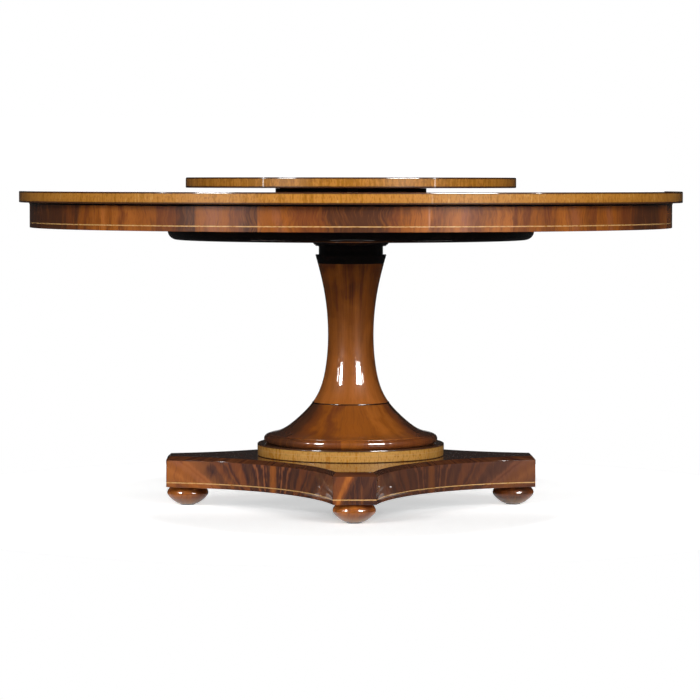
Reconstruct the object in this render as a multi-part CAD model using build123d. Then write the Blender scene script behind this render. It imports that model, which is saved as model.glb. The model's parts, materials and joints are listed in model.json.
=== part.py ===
from build123d import *
import os
from math import radians, sin, sqrt

# Round pedestal dining table with a revolving tray (lazy Susan) on its centre.
# Millimetres, +Z up. The origin is on the floor under the middle of the column.
# The plinth's four cut corners, and the feet under them, lie on the X and Y axes; the front one is at -Y.

# Heights and diameters that set the design
TABLE_HEIGHT = 762
TOP_DIAMETER = 1600
TOP_THICKNESS = 27
LIPPING = 8
ARRIS = 1.2

TRAY_DIAMETER = 800
TRAY_THICKNESS = 25
BEARING_HEIGHT = 8

APRON_DIAMETER = 1550
APRON_DEPTH = 60
APRON_THICKNESS = 20
STRING_WIDTH = 2.4
STRING_DEPTH = 1.2
APRON_STRING_RISE = 11
APRON_BEAD = 4
APRON_BEAD_PROJECTION = 1.2

SUB_TOP_DIAMETER = 888
SUB_TOP_THICKNESS = 30
SUB_TOP_ROUNDING = 22

NECK_RADIUS = 78
NECK_HEIGHT = 36
NECK_MOULDING_RADIUS = 91.5
NECK_MOULDING_HEIGHT = 15.5
NECK_FILLET_HEIGHT = 2.5
OVOLO = 5.5

COLUMN_TOP_RADIUS = 86.4
COLLAR_HEIGHT = 22
WAIST_RADIUS = 55.4
BELL_RADIUS = 200
BEAD_RADIUS = 94
BEAD_HEIGHT = 2.8
BEAD_LEVEL = 247.8
SPIGOT_RADIUS = 30
SPIGOT_LENGTH = 16
TORUS_RADIUS = 211
TORUS_HEIGHT = 21.5
DISC_RADIUS = 227
DISC_HEIGHT = 29.5

PLINTH_TOP = 121.3
PLINTH_BOTTOM = 46.4
PLINTH_REACH = 447.3
CORNER_WIDTH = 100
HOLLOW_RADIUS = 504
RAIL_THICKNESS = 20
MOULDING_HEIGHT = 10
BEVEL = 8.5
BEVEL_EASING = 3
BLOCK_START = 330
PLINTH_STRING_RISE = 10.2

FOOT_CENTRE = 396.7
FOOT_BELLY_RADIUS = 50
FOOT_NECK_RADIUS = 38
FOOT_TREAD_RADIUS = 20
GLIDE_RADIUS = 18
GLIDE_HEIGHT = 2

BEARER_OFFSET = 220
BEARER_WIDTH = 32
GLUE_BLOCK = 40
GLUE_BLOCK_REACH = 36
GLUE_BLOCK_COUNT = 16
BRACE_WIDTH = 50
BRACE_DEPTH = 38
HOUSING_DEPTH = 25

ROD_RADIUS = 6
NUT_FLATS = 19
NUT_HEIGHT = 10
WASHER_RADIUS = 18
WASHER_HEIGHT = 3
FIT_GAP = 0.15

# Ball race of the tray
RACE_OUTER_RADIUS = 183
RACE_INNER_RADIUS = 154
BALL_PITCH_RADIUS = 168
BALL_RADIUS = 2.5
BALL_CLEARANCE = 0.3
BALL_COUNT = 36
RACE_GAP = 3
CAGE_WALL = 1.6
RING_HEIGHT = 7
RACE_SCREW_COUNT = 8
ACCESS_HOLE_RADIUS = 10
PLUG_WIDTH = 25
PLUG_DEPTH = 4

# Levels that follow
TOP_UNDERSIDE = TABLE_HEIGHT - TOP_THICKNESS
APRON_BOTTOM = TOP_UNDERSIDE - APRON_DEPTH
SUB_TOP_BOTTOM = APRON_BOTTOM - SUB_TOP_THICKNESS
COLUMN_TOP = SUB_TOP_BOTTOM - NECK_HEIGHT
COLLAR_BOTTOM = COLUMN_TOP - COLLAR_HEIGHT
BEAD_TOP = BEAD_LEVEL + BEAD_HEIGHT
DISC_TOP = PLINTH_TOP + DISC_HEIGHT
BELL_BOTTOM = DISC_TOP + TORUS_HEIGHT
MOULDING_BOTTOM = PLINTH_TOP - MOULDING_HEIGHT
LID_DEPTH = 12
LID_BOTTOM = MOULDING_BOTTOM - LID_DEPTH
BRACE_BOTTOM = LID_BOTTOM - BRACE_DEPTH
TRAY_BOTTOM = TABLE_HEIGHT + BEARING_HEIGHT
TRAY_TOP = TRAY_BOTTOM + TRAY_THICKNESS

TOP_RADIUS = TOP_DIAMETER / 2
TRAY_RADIUS = TRAY_DIAMETER / 2
APRON_RADIUS = APRON_DIAMETER / 2
APRON_INSIDE = APRON_RADIUS - APRON_THICKNESS
SUB_TOP_RADIUS = SUB_TOP_DIAMETER / 2
BALL_LEVEL = (TABLE_HEIGHT + TRAY_BOTTOM) / 2
OUTER_RACE_WALL = BALL_PITCH_RADIUS + RACE_GAP / 2
INNER_RACE_WALL = BALL_PITCH_RADIUS - RACE_GAP / 2
OUTER_SCREW_RADIUS = (OUTER_RACE_WALL + RACE_OUTER_RADIUS) / 2
INNER_SCREW_RADIUS = (INNER_RACE_WALL + RACE_INNER_RADIUS) / 2

SIDES = {"right": 0, "back": 90, "left": 180, "front": 270}
QUARTERS = {"back_right": 0, "back_left": 90, "front_left": 180, "front_right": 270}

nodes = {}


# ---- shapes used again and again ----

def turned(section):
    """A lathe part: a face drawn as (radius, height), turned about the Z axis."""
    return revolve(Plane.XZ * section, Axis.Z)


def band(inside, outside, low, high, arris=0.0):
    """A turned ring of rectangular section, or a disc if inside is 0, with its outer edges eased."""
    section = Pos((inside + outside) / 2, (low + high) / 2) * Rectangle(outside - inside, high - low)
    if arris:
        section = fillet(section.vertices().group_by(Axis.X)[-1], arris)
    return turned(section)


def post(radius, low, high):
    """An upright cylinder on the table's axis."""
    return Pos(0, 0, (low + high) / 2) * Cylinder(radius, high - low)


def block(x_size, y_size, low, high):
    """An upright box centred on the table's axis."""
    return Pos(0, 0, (low + high) / 2) * Box(x_size, y_size, high - low)


def screw_form(head_radius, shank_radius, length, gap=0.0):
    """A countersunk screw's outline with its head face at z = 0 and its point up."""
    head_depth = head_radius - shank_radius
    return turned(make_face(Polyline(
        (0, 0),
        (head_radius + gap, 0),
        (shank_radius + gap, head_depth),
        (shank_radius + gap, length - 2 * shank_radius),
        (0, length + gap),
        close=True)))


def screw(head_radius, shank_radius, length):
    """A slotted countersunk screw, head face at z = 0, pointing up."""
    slot = Box(2 * head_radius, 0.2 * head_radius, 0.6 * head_radius)
    return screw_form(head_radius, shank_radius, length) - slot


def screw_set(places, head_radius, shank_radius, length):
    """The screws at the given places as one group, and the pockets that they sit in."""
    screws = [place * screw(head_radius, shank_radius, length) for place in places]
    pockets = [place * screw_form(head_radius, shank_radius, length, FIT_GAP) for place in places]
    return Compound(screws), pockets


# ---- revolving tray and its ball race ----

def race_groove():
    """The ring-shaped space in which the balls roll."""
    return turned(Pos(BALL_PITCH_RADIUS, BALL_LEVEL) * Circle(BALL_RADIUS + BALL_CLEARANCE))


def make_tray():
    screw_places = [
        Pos(0, 0, TRAY_BOTTOM - RING_HEIGHT) * place
        for place in PolarLocations(INNER_SCREW_RADIUS, RACE_SCREW_COUNT)
    ]
    screws, pockets = screw_set(screw_places, 3.6, 1.8, 16)
    panel = band(0, TRAY_RADIUS - LIPPING, TRAY_BOTTOM, TRAY_TOP)
    ring = band(RACE_INNER_RADIUS, INNER_RACE_WALL, TRAY_BOTTOM - RING_HEIGHT, TRAY_BOTTOM, 0.4)
    nodes["tray_panel"] = panel - pockets
    nodes["tray_edge_band"] = band(TRAY_RADIUS - LIPPING, TRAY_RADIUS, TRAY_BOTTOM, TRAY_TOP, ARRIS)
    nodes["race_inner_ring"] = ring - race_groove() - pockets
    nodes["tray_screws"] = screws


def make_cage():
    places = PolarLocations(BALL_PITCH_RADIUS, BALL_COUNT)
    low = TABLE_HEIGHT + 0.6
    high = TRAY_BOTTOM - 0.4
    cage = band(BALL_PITCH_RADIUS - CAGE_WALL / 2, BALL_PITCH_RADIUS + CAGE_WALL / 2, low, high)
    pocket = Rot(0, 90, 0) * Cylinder(BALL_RADIUS + 0.1, 2 * RACE_GAP)
    at_level = [Pos(0, 0, BALL_LEVEL) * place for place in places]
    nodes["ball_cage"] = cage - [place * pocket for place in at_level]
    nodes["race_balls"] = Compound([place * Sphere(BALL_RADIUS) for place in at_level])


def make_fixed_race():
    """The outer ring screwed to the tabletop, with the plug that closes its ball-loading slot."""
    half_step = 180 / RACE_SCREW_COUNT
    top = TABLE_HEIGHT + RING_HEIGHT
    screw_places = [
        Pos(0, 0, top) * place * Rot(180, 0, 0)
        for place in PolarLocations(OUTER_SCREW_RADIUS, RACE_SCREW_COUNT, half_step)
    ]
    screws, pockets = screw_set(screw_places, 3.6, 1.8, 18)
    ring = band(OUTER_RACE_WALL, RACE_OUTER_RADIUS, TABLE_HEIGHT, top, 0.5) - race_groove()
    slot = Pos(0, PLUG_DEPTH / 2 - RACE_OUTER_RADIUS, 0) * block(
        PLUG_WIDTH, PLUG_DEPTH, TABLE_HEIGHT + 1.2, top - 1.2)
    nodes["race_outer_ring"] = ring - slot - pockets
    nodes["race_loading_plug"] = ring & slot
    nodes["race_screws"] = screws
    return pockets


# ---- tabletop, apron and the framing under them ----

def bearer_screw_places():
    """Where the top screws and the sub-top screws go up through the bearers."""
    top, sub = [], []
    for turn in range(4):
        for side in (-1, 1):
            spin = Rot(0, 0, 90 * turn)
            top.append(spin * Pos(side * BEARER_OFFSET, 450, APRON_BOTTOM + 25))
            sub.append(spin * Pos(side * BEARER_OFFSET / 2, BEARER_OFFSET, SUB_TOP_BOTTOM))
    return top, sub


def make_top(race_pockets, top_pockets):
    panel = band(0, TOP_RADIUS - LIPPING, TOP_UNDERSIDE, TABLE_HEIGHT)
    access = Pos(INNER_SCREW_RADIUS, 0, 0) * post(ACCESS_HOLE_RADIUS, TOP_UNDERSIDE, TABLE_HEIGHT)
    nodes["tabletop_panel"] = panel - access - race_pockets - top_pockets
    nodes["tabletop_edge_band"] = band(
        TOP_RADIUS - LIPPING, TOP_RADIUS, TOP_UNDERSIDE, TABLE_HEIGHT, ARRIS)


def make_apron():
    string_low = APRON_BOTTOM + APRON_STRING_RISE
    groove = band(APRON_RADIUS - STRING_DEPTH, APRON_RADIUS, string_low, string_low + STRING_WIDTH)
    nodes["apron"] = band(APRON_INSIDE, APRON_RADIUS, APRON_BOTTOM, TOP_UNDERSIDE) - groove
    nodes["apron_stringing"] = groove
    rounding = ((APRON_BEAD / 2) ** 2 + APRON_BEAD_PROJECTION ** 2) / (2 * APRON_BEAD_PROJECTION)
    bead = Pos(APRON_BEAD_PROJECTION - rounding, 0) * Circle(rounding)
    bead &= Pos(APRON_BEAD, 0) * Rectangle(2 * APRON_BEAD, 2 * APRON_BEAD)
    nodes["apron_bead"] = turned(Pos(APRON_RADIUS, TOP_UNDERSIDE - APRON_BEAD / 2) * bead)
    glue_block = Pos(APRON_INSIDE, 0, 0) * block(
        2 * GLUE_BLOCK_REACH, GLUE_BLOCK, TOP_UNDERSIDE - GLUE_BLOCK, TOP_UNDERSIDE)
    curved = glue_block & post(APRON_INSIDE, APRON_BOTTOM, TOP_UNDERSIDE)
    nodes["apron_glue_blocks"] = Compound([
        Rot(0, 0, 360 * step / GLUE_BLOCK_COUNT) * curved
        for step in range(GLUE_BLOCK_COUNT)
    ])


def make_bearers(pockets, counterbores):
    """Four bearers halved into each other like a # inside the apron."""
    inside = post(APRON_INSIDE, APRON_BOTTOM, TOP_UNDERSIDE)
    half_level = (APRON_BOTTOM + TOP_UNDERSIDE) / 2
    for name, angle in SIDES.items():
        along_x = name in ("front", "back")
        low, high = (half_level, TOP_UNDERSIDE) if along_x else (APRON_BOTTOM, half_level)
        notch = block(BEARER_WIDTH, BEARER_WIDTH, low, high)
        bearer = Pos(BEARER_OFFSET, 0, 0) * block(BEARER_WIDTH, APRON_DIAMETER, APRON_BOTTOM, TOP_UNDERSIDE)
        bearer -= [Pos(BEARER_OFFSET, side * BEARER_OFFSET, 0) * notch for side in (-1, 1)]
        nodes[f"bearer_{name}"] = (Rot(0, 0, angle) * bearer & inside) - pockets - counterbores


def make_sub_top(pockets):
    middle = (APRON_BOTTOM + SUB_TOP_BOTTOM) / 2
    section = Pos(SUB_TOP_RADIUS / 2, middle) * Rectangle(SUB_TOP_RADIUS, SUB_TOP_THICKNESS)
    outer_corners = section.vertices().group_by(Axis.X)[-1]
    section = fillet(outer_corners.sort_by(Axis.Y)[0], SUB_TOP_ROUNDING)
    nodes["sub_top_board"] = turned(section) - rod_bore() - pockets


# ---- pedestal: neck, column, bell, torus and disc ----

def rod_bore():
    return post(ROD_RADIUS + 1, 0, TABLE_HEIGHT)


def make_neck():
    low = SUB_TOP_BOTTOM - NECK_MOULDING_HEIGHT
    foot_radius = NECK_MOULDING_RADIUS - OVOLO
    ovolo_low = low + NECK_FILLET_HEIGHT
    ovolo_top = ovolo_low + OVOLO
    ovolo = CenterArc((foot_radius, ovolo_top), OVOLO, 270, 90)
    rest = Polyline(
        (NECK_MOULDING_RADIUS, ovolo_top),
        (NECK_MOULDING_RADIUS, SUB_TOP_BOTTOM),
        (NECK_RADIUS, SUB_TOP_BOTTOM),
        (NECK_RADIUS, low),
        (foot_radius, low),
        (foot_radius, ovolo_low))
    nodes["neck_moulding"] = turned(make_face([ovolo, *rest.edges()]))
    nodes["neck_block"] = post(NECK_RADIUS, COLUMN_TOP, SUB_TOP_BOTTOM) - rod_bore()


def column_section():
    """Half of the column's outline, from its top through the waist to the bell's lip."""
    side = Spline(
        (COLUMN_TOP_RADIUS, COLUMN_TOP),
        (66.9, 531),
        (WAIST_RADIUS, 422),
        (60.2, 341.4),
        (81, 268.2),
        (130.7, 209.6),
        (165, 184.3),
        (BELL_RADIUS, BELL_BOTTOM + 1),
        tangents=[(-0.28, -1), (1, -0.20)])
    rest = Polyline(
        (BELL_RADIUS, BELL_BOTTOM + 1),
        (BELL_RADIUS, BELL_BOTTOM),
        (0, BELL_BOTTOM),
        (0, COLUMN_TOP),
        (COLUMN_TOP_RADIUS, COLUMN_TOP))
    return make_face([side, *rest.edges()])


def column_slice(low, high):
    """The part of the column's half outline between two levels."""
    return column_section() & Pos(BELL_RADIUS / 2, (low + high) / 2) * Rectangle(BELL_RADIUS, high - low)


def make_column():
    socket_bottom = BEAD_TOP - SPIGOT_LENGTH
    socket = post(SPIGOT_RADIUS + FIT_GAP, socket_bottom, BEAD_TOP)
    collar_section = column_slice(COLLAR_BOTTOM, COLUMN_TOP)
    top_corner = collar_section.vertices().sort_by(Axis.X)[-1]
    spigot = post(SPIGOT_RADIUS, socket_bottom + 1, BEAD_TOP)
    nodes["column_collar"] = turned(fillet(top_corner, 1.5)) - rod_bore()
    nodes["column_shaft"] = turned(column_slice(BEAD_TOP, COLLAR_BOTTOM)) + spigot - rod_bore()
    nodes["column_bead"] = band(0, BEAD_RADIUS, BEAD_LEVEL, BEAD_TOP, 1.2) - socket
    nodes["column_bell"] = turned(column_slice(BELL_BOTTOM, BEAD_LEVEL)) - socket - rod_bore()


def make_pedestal_base():
    level = (DISC_TOP + BELL_BOTTOM) / 2
    rounding = TORUS_HEIGHT / 2
    flat = TORUS_RADIUS - rounding
    section = Pos(flat / 2, level) * Rectangle(flat, TORUS_HEIGHT) + Pos(flat, level) * Circle(rounding)
    nodes["column_torus"] = turned(section) - rod_bore()
    nodes["pedestal_disc"] = band(0, DISC_RADIUS, PLINTH_TOP, DISC_TOP, 2) - rod_bore()


# ---- plinth and feet ----

def plinth_outline(inset=0.0):
    """Plan of the plinth: cut corners on the axes and four hollow sides, drawn inset from the outer face."""
    half_corner = CORNER_WIDTH / 2
    total = PLINTH_REACH + half_corner
    spare = PLINTH_REACH ** 2 + half_corner ** 2 - HOLLOW_RADIUS ** 2
    centre = (total + sqrt(total ** 2 - 2 * spare)) / 2
    reach = PLINTH_REACH - inset
    radius = HOLLOW_RADIUS + inset
    half = centre - sqrt(radius ** 2 - (centre - reach) ** 2)
    middle = centre - radius * sin(radians(45))
    edges = []
    for turn in range(4):
        corner = Line((reach, -half), (reach, half))
        hollow = ThreePointArc((reach, half), (middle, middle), (half, reach))
        edges += [edge.rotate(Axis.Z, 90 * turn) for edge in (corner, hollow)]
    return make_face(edges)


def slab(outline, low, high):
    return Pos(0, 0, low) * extrude(outline, high - low)


def make_plinth():
    string_low = PLINTH_BOTTOM + PLINTH_STRING_RISE
    outline = plinth_outline()
    string_outline = outline - plinth_outline(STRING_DEPTH)
    stringing = slab(string_outline, string_low, string_low + STRING_WIDTH)
    body = slab(outline, PLINTH_BOTTOM, MOULDING_BOTTOM) - stringing
    core = slab(plinth_outline(RAIL_THICKNESS), PLINTH_BOTTOM, MOULDING_BOTTOM)
    frame = body - core

    moulded = slab(outline, MOULDING_BOTTOM, PLINTH_TOP)
    moulded = chamfer(moulded.faces().sort_by(Axis.Z)[-1].edges(), BEVEL)
    bevel_foot = moulded.edges().filter_by_position(Axis.Z, PLINTH_TOP - BEVEL, PLINTH_TOP - BEVEL)
    moulded = fillet(bevel_foot, BEVEL_EASING)
    middle = block(2 * BLOCK_START, 2 * BLOCK_START, PLINTH_BOTTOM, MOULDING_BOTTOM)
    lid = slab(plinth_outline(RAIL_THICKNESS), LID_BOTTOM, MOULDING_BOTTOM) & middle
    nodes["plinth_top_board"] = moulded + lid - rod_bore()
    nodes["plinth_stringing"] = stringing

    brace_length = 2 * (BLOCK_START + HOUSING_DEPTH)
    half_level = (BRACE_BOTTOM + LID_BOTTOM) / 2
    brace = block(brace_length, BRACE_WIDTH, BRACE_BOTTOM, LID_BOTTOM)
    recess = post(WASHER_RADIUS + 2, BRACE_BOTTOM, BRACE_BOTTOM + 6)
    lower_notch = block(BRACE_WIDTH, BRACE_WIDTH, BRACE_BOTTOM, half_level)
    upper_notch = block(BRACE_WIDTH, BRACE_WIDTH, half_level, LID_BOTTOM)
    nodes["brace_side_to_side"] = brace - lower_notch - rod_bore()
    nodes["brace_front_to_back"] = Rot(0, 0, 90) * brace - upper_notch - rod_bore() - recess

    beyond = block(2 * PLINTH_REACH, 2 * PLINTH_REACH, 0, PLINTH_TOP)
    corner_zone = Pos(BLOCK_START + PLINTH_REACH, 0, 0) * beyond
    rail_zone = Pos(BLOCK_START / 2, BLOCK_START / 2, 0) * block(BLOCK_START, BLOCK_START, 0, PLINTH_TOP)
    bolt_hole = Pos(FOOT_CENTRE, 0, 0) * post(4 + FIT_GAP, 0, 92)
    corner = (body & corner_zone) - brace - bolt_hole
    for name, angle in SIDES.items():
        nodes[f"corner_block_{name}"] = Rot(0, 0, angle) * corner
    for name, angle in QUARTERS.items():
        nodes[f"plinth_rail_{name}"] = Rot(0, 0, angle) * (frame & rail_zone)


def make_feet():
    belly = Spline(
        (FOOT_TREAD_RADIUS, GLIDE_HEIGHT),
        (36.6, 11),
        (FOOT_BELLY_RADIUS, 29.5),
        (FOOT_NECK_RADIUS, PLINTH_BOTTOM),
        tangents=[(1, 0.28), (-1, 0.75)])
    rest = Polyline(
        (FOOT_NECK_RADIUS, PLINTH_BOTTOM),
        (0, PLINTH_BOTTOM),
        (0, GLIDE_HEIGHT),
        (FOOT_TREAD_RADIUS, GLIDE_HEIGHT))
    bolt_low, bolt_high = 15, 90
    foot = turned(make_face([belly, *rest.edges()])) - post(4 + FIT_GAP, bolt_low - 1, bolt_high)
    bolt = post(4, bolt_low, bolt_high)
    glide = band(0, GLIDE_RADIUS, 0, GLIDE_HEIGHT, 0.5)
    places = {name: Rot(0, 0, angle) * Pos(FOOT_CENTRE, 0, 0) for name, angle in SIDES.items()}
    for name, place in places.items():
        nodes[f"foot_{name}"] = place * foot
    nodes["foot_bolts"] = Compound([place * bolt for place in places.values()])
    nodes["glides"] = Compound([place * glide for place in places.values()])


# ---- tie rod that clamps the pedestal together ----

def make_tie_rod():
    """A threaded rod from the braces up to the sub-top board, with a washer and a nut at each end."""
    lower_washer = BRACE_BOTTOM + 6 - WASHER_HEIGHT
    lower_nut = lower_washer - NUT_HEIGHT
    upper_nut = APRON_BOTTOM + WASHER_HEIGHT
    rod = post(ROD_RADIUS, lower_nut - 3, upper_nut + NUT_HEIGHT + 4)
    washer = band(ROD_RADIUS + 0.5, WASHER_RADIUS, 0, WASHER_HEIGHT)
    nut = extrude(RegularPolygon(NUT_FLATS / 2, 6, major_radius=False), NUT_HEIGHT)
    nut -= post(ROD_RADIUS + FIT_GAP, 0, NUT_HEIGHT)
    nodes["tie_rod"] = rod
    nodes["tie_rod_washers"] = Compound([Pos(0, 0, z) * washer for z in (lower_washer, APRON_BOTTOM)])
    nodes["tie_rod_nuts"] = Compound([Pos(0, 0, z) * nut for z in (lower_nut, upper_nut)])


def main():
    make_tray()
    make_cage()
    race_pockets = make_fixed_race()

    top_places, sub_places = bearer_screw_places()
    nodes["top_screws"], top_pockets = screw_set(top_places, 5, 2.4, 50)
    nodes["sub_top_screws"], sub_pockets = screw_set(sub_places, 5, 2.4, 60)
    counterbores = [place * (Pos(0, 0, -12.5) * Cylinder(7, 25)) for place in top_places]
    make_top(race_pockets, top_pockets)
    make_apron()
    make_bearers(top_pockets + sub_pockets, counterbores)
    make_sub_top(sub_pockets)

    make_neck()
    make_column()
    make_pedestal_base()
    make_plinth()
    make_feet()
    make_tie_rod()

    os.makedirs("parts", exist_ok=True)
    for name, shape in nodes.items():
        export_step(shape, f"parts/{name}.step")


main()
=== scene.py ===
import bpy
import json
from math import asin, cos, hypot, pi, radians, sin, sqrt, tan
from mathutils import Matrix, Vector

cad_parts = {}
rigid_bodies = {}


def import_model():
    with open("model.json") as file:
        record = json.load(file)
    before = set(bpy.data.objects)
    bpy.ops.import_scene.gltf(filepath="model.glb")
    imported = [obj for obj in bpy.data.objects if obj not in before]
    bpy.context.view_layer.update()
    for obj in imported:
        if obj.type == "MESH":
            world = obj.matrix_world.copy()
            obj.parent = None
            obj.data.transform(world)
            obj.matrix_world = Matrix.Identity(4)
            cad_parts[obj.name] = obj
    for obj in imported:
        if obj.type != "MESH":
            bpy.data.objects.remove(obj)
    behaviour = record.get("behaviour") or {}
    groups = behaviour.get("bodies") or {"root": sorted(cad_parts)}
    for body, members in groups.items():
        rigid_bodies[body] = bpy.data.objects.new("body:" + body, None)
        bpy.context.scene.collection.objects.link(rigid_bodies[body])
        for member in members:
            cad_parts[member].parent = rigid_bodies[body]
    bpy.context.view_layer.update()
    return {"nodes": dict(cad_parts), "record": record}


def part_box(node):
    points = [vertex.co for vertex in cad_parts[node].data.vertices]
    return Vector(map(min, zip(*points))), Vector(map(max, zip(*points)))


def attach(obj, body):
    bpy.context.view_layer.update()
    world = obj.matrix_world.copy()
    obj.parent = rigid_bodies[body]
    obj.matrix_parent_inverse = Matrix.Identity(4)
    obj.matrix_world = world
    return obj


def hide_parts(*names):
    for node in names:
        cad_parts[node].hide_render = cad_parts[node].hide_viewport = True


# The looks of a round pedestal table around its CAD frame. Metres, +Z up, the front is at -Y.
# Every turned piece is a lathe mesh whose section comes from its CAD node, and its "grain" UV map is the
# veneer laid flat: u runs round the piece from its front, v along its section, both in metres.

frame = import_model()
nodes = frame["nodes"]

SEGMENTS = 360
MM = 0.001

# Wood colours, as linear light
EMBER = (0.400, 0.117, 0.016)
AMBER = (0.300, 0.084, 0.010)
ROSE = (0.290, 0.088, 0.028)
CHESTNUT = (0.190, 0.050, 0.011)
UMBER = (0.085, 0.028, 0.011)
SHADOW = (0.045, 0.015, 0.009)
HONEY = (0.500, 0.208, 0.028)
STRAW = (0.600, 0.310, 0.070)
OLIVE = (0.360, 0.145, 0.012)
FLAME = (0.480, 0.143, 0.024)
BOX = (0.620, 0.360, 0.130)
INK = (0.012, 0.006, 0.004)
# Painted reflection: a bluish sheen mixed into the plinth's veneers, for the floor mirrored in their polish
PAINTED_SHEEN = (0.70, 0.80, 1.00)


# ---- materials ----

class Shader:
    """One material's node tree, with a short call for each kind of node."""

    def __init__(self, name):
        self.material = bpy.data.materials.new(name)
        self.material.use_nodes = True
        self.tree = self.material.node_tree
        self.surface = self.tree.nodes["Principled BSDF"]

    def feed(self, socket, value):
        if isinstance(value, bpy.types.NodeSocket):
            self.tree.links.new(value, socket)
        elif hasattr(value, "__len__") and len(value) == 3 and len(getattr(socket, "default_value", ())) == 4:
            socket.default_value = (*value, 1)
        else:
            socket.default_value = value

    def node(self, kind, output=0, settings=None, **inputs):
        made = self.tree.nodes.new(kind)
        for name, value in (settings or {}).items():
            setattr(made, name, value)
        for name, value in inputs.items():
            self.feed(made.inputs[name], value)
        return made.outputs[output]

    def math(self, operation, *values):
        made = self.tree.nodes.new("ShaderNodeMath")
        made.operation = operation
        for socket, value in zip(made.inputs, values):
            self.feed(socket, value)
        return made.outputs[0]

    def add(self, a, b):
        return self.math("ADD", a, b)

    def times(self, a, b):
        return self.math("MULTIPLY", a, b)

    def weigh(self, *parts):
        """The sum of (value, weight) pairs."""
        total = self.times(*parts[0])
        for part in parts[1:]:
            total = self.add(total, self.times(*part))
        return total

    def mix(self, factor, a, b):
        made = self.tree.nodes.new("ShaderNodeMix")
        made.data_type = "RGBA"
        for index, value in ((0, factor), (6, a), (7, b)):
            self.feed(made.inputs[index], value)
        return made.outputs[2]

    def spread(self, value, low, high, to_low=0.0, to_high=1.0):
        """value, which runs from low to high, mapped to to_low to to_high and held there."""
        return self.node("ShaderNodeMapRange", Value=value, **{
            "From Min": low, "From Max": high, "To Min": to_low, "To Max": to_high})

    def ramp(self, factor, stops):
        made = self.tree.nodes.new("ShaderNodeValToRGB")
        made.color_ramp.interpolation = "EASE"
        points = made.color_ramp.elements
        while len(points) < len(stops):
            points.new(1.0)
        for point, (place, colour) in zip(points, stops):
            point.position = place
            point.color = (*colour, 1)
        self.feed(made.inputs[0], factor)
        return made.outputs[0]

    def noise(self, *axes, detail=2.0, roughness=0.5, distortion=0.0):
        """Soft noise from 0 to 1. Each axis is a value, or a (value, cells per unit) pair."""
        scaled = [self.times(*axis) if isinstance(axis, tuple) else axis for axis in axes]
        place = self.node("ShaderNodeCombineXYZ", **dict(zip("XYZ", scaled)))
        return self.node("ShaderNodeTexNoise", Vector=place, Scale=1.0, Detail=detail,
                         Roughness=roughness, Distortion=distortion)

    def streaks(self, u, v, across, along, seed=0.0, detail=4.0):
        """Grain that runs along v: noise cells `across` metres wide and `along` metres long."""
        return self.noise((u, 1 / across), (v, 1 / along), seed, detail=detail, roughness=0.6)

    def parts_of(self, vector):
        made = self.tree.nodes.new("ShaderNodeSeparateXYZ")
        self.feed(made.inputs[0], vector)
        return made.outputs

    def grain_place(self):
        """The veneer's own coordinates, u and v."""
        return self.parts_of(self.node("ShaderNodeUVMap", settings={"uv_map": "grain"}))[:2]

    def object_place(self):
        return self.parts_of(self.node("ShaderNodeTexCoord", output=3))

    def distance(self, x, y):
        return self.math("SQRT", self.add(self.times(x, x), self.times(y, y)))

    def near(self, value, centre, half):
        """1 where value lies within half of centre, else 0."""
        return self.math("LESS_THAN", self.math("ABSOLUTE", self.add(value, -centre)), half)

    def bump(self, height, depth):
        """A bump whose full height is depth metres."""
        return self.node("ShaderNodeBump", Height=height, Distance=depth, Strength=1.0)

    def base(self, colour, roughness, normal):
        """The bare surface, which polish may cover."""
        for socket, value in (("Base Color", colour), ("Roughness", roughness), ("Normal", normal)):
            self.feed(self.surface.inputs[socket], value)
        return self.material

    def polish(self, colour, roughness, normal, coat=1.0, coat_roughness=0.02):
        """French polish over the wood: a hard clear coat on a duller base."""
        self.surface.inputs["Specular IOR Level"].default_value = 0.05
        self.surface.inputs["Coat Weight"].default_value = coat
        self.surface.inputs["Coat Roughness"].default_value = coat_roughness
        self.surface.inputs["Coat IOR"].default_value = 1.5
        return self.base(colour, roughness, normal)


def satinwood(name, low, high, line=None, pale=0.0, shade_low_reach=4.4 * MM):
    """Pale golden wood cut as a band from level low to high, its arrises darkened by painted shade.

    line is the level of a thin pale line, and the last argument the reach of the painted shade on the lower
    arris."""
    shader = Shader(name)
    u, v = shader.grain_place()
    fine = shader.spread(shader.streaks(u, v, 0.0060, 0.050, 1.0, 5), 0.38, 0.62)
    broad = shader.spread(shader.streaks(u, v, 0.030, 0.10, 4.0, 3), 0.36, 0.64)
    cloud = shader.spread(shader.noise((u, 6.0), (v, 12.0), 9.0), 0.3, 0.7)
    mottle = shader.spread(shader.noise((u, 170.0), (v, 90.0), 5.0, detail=3), 0.36, 0.64)
    tone = shader.weigh((fine, 0.36), (broad, 0.24), (cloud, 0.18), (mottle, 0.22))
    colour = shader.ramp(shader.add(tone, pale), [(0.18, OLIVE), (0.44, HONEY), (0.62, HONEY), (0.85, STRAW)])
    fleck = shader.spread(shader.noise((u, 300.0), (v, 110.0), 7.0), 0.52, 0.70)
    colour = shader.mix(shader.times(fleck, 0.50), colour, CHESTNUT)
    z = shader.object_place()[2]
    wander = shader.times(shader.noise((u, 110.0), 0.0, 3.0), 1.6 * MM)
    # Painted shade: both arrises are darkened to SHADOW along a wandering edge, standing in for the shade on
    # the rounded edges.
    for edge, direction, reach in ((low, 1, shade_low_reach), (high, -1, 3.8 * MM)):
        inside = shader.times(shader.add(z, -edge), direction)
        inside = shader.add(inside, shader.times(wander, -1.0))
        colour = shader.mix(shader.spread(inside, reach - 1.8 * MM, reach, 0.94, 0.0), colour, SHADOW)
    if line is not None:
        colour = shader.mix(shader.times(shader.near(z, line, 0.7 * MM), 0.6), colour, BOX)
    return shader.polish(colour, 0.4, shader.bump(fine, 0.03 * MM))


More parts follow.
